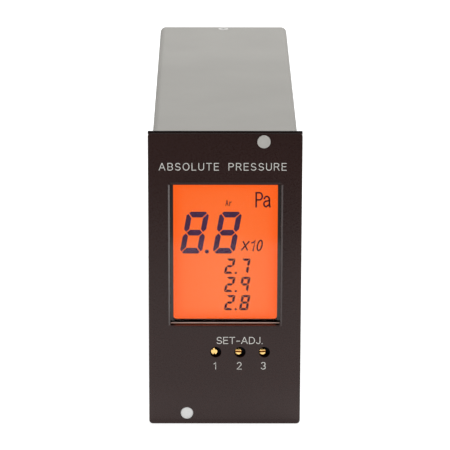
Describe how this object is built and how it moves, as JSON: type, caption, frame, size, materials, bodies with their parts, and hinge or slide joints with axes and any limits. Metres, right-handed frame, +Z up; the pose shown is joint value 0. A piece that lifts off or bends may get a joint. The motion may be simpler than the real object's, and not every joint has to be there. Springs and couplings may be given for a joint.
{
  "type": "pirani vacuum gauge",
  "caption": "Panel-mounted vacuum gauge display unit: upright dark front with a lit number window and slotted trimmers, on a long grey metal case with sockets at the rear.",
  "frame": {"origin": "middle of the flange's rear face, on the plane of the panel that the unit is fitted in", "axes": "+Y from the panel's plane into the case, +Z up, +X to the right as seen from the front"},
  "size_m": [0.048, 0.1608, 0.096],
  "materials": {
    "front_plastic": "satin moulded",
    "black_plastic": "moulded",
    "pin_plastic": "moulded",
    "clear_pane": "clear polished",
    "lit_display": "lit orange",
    "light_guide": "moulded",
    "lamp": "moulded",
    "contact_rubber": "matte",
    "circuit_board": "lacquered",
    "bright_steel": "bright plated",
    "trimmer_plastic": "moulded",
    "screw_brass": "turned",
    "case_paint": "fine matte paint",
    "rear_plastic": "moulded",
    "chip_plastic": "moulded",
    "relay_plastic": "moulded",
    "core_steel": "varnished sheet stack",
    "winding": "varnished winding",
    "can_sleeve": "shrunk sleeve",
    "heatsink_metal": "anodised",
    "fuse_glass": "clear",
    "plated_brass": "plated"
  },
  "bodies": {
    "unit": {"front_panel": "front_plastic", "front_frame": "black_plastic", "front_pin_upper": "pin_plastic", "front_pin_lower": "pin_plastic", "window_pane": "clear_pane", "lcd_holder": "black_plastic", "lcd_glass": "lit_display", "backlight_block": "light_guide", "backlight_leds": "lamp", "lcd_contact_strips": "contact_rubber", "display_board": "circuit_board", "display_board_screws": "bright_steel", "trimmer_body_1": "trimmer_plastic", "trimmer_body_2": "trimmer_plastic", "trimmer_body_3": "trimmer_plastic", "case_sleeve": "case_paint", "case_screws": "bright_steel", "rear_panel": "rear_plastic", "main_board": "circuit_board", "power_board": "circuit_board", "main_link": "black_plastic", "power_link": "black_plastic", "processor_chip": "chip_plastic", "amplifier_chips": "chip_plastic", "relay_1": "relay_plastic", "relay_2": "relay_plastic", "relay_3": "relay_plastic", "transformer_core": "core_steel", "transformer_coil": "winding", "rectifier": "chip_plastic", "smoothing_capacitors": "can_sleeve", "regulator": "chip_plastic", "regulator_heatsink": "heatsink_metal", "fuse": "fuse_glass", "fuse_clips": "plated_brass", "sensor_socket_shell": "bright_steel", "sensor_socket_insulator": "black_plastic", "sensor_socket_contacts": "plated_brass", "sensor_jack_posts": "bright_steel", "signal_socket_shell": "bright_steel", "signal_socket_insulator": "black_plastic", "signal_socket_contacts": "plated_brass", "signal_jack_posts": "bright_steel", "terminal_block": "black_plastic", "terminal_plates": "plated_brass", "terminal_screws": "bright_steel"},
    "adjuster_1": {"trimmer_screw_1": "screw_brass"},
    "adjuster_2": {"trimmer_screw_2": "screw_brass"},
    "adjuster_3": {"trimmer_screw_3": "screw_brass"}
  },
  "joints": [
    {"name": "adjuster_1_turn", "type": "hinge", "parent": "unit", "child": "adjuster_1", "pos_m": [-0.00335, 0, -0.0238], "axis": [0, -1, 0], "continuous": true},
    {"name": "adjuster_2_turn", "type": "hinge", "parent": "unit", "child": "adjuster_2", "pos_m": [0.0043, 0, -0.0238], "axis": [0, -1, 0], "continuous": true},
    {"name": "adjuster_3_turn", "type": "hinge", "parent": "unit", "child": "adjuster_3", "pos_m": [0.01195, 0, -0.0238], "axis": [0, -1, 0], "continuous": true}
  ]
}
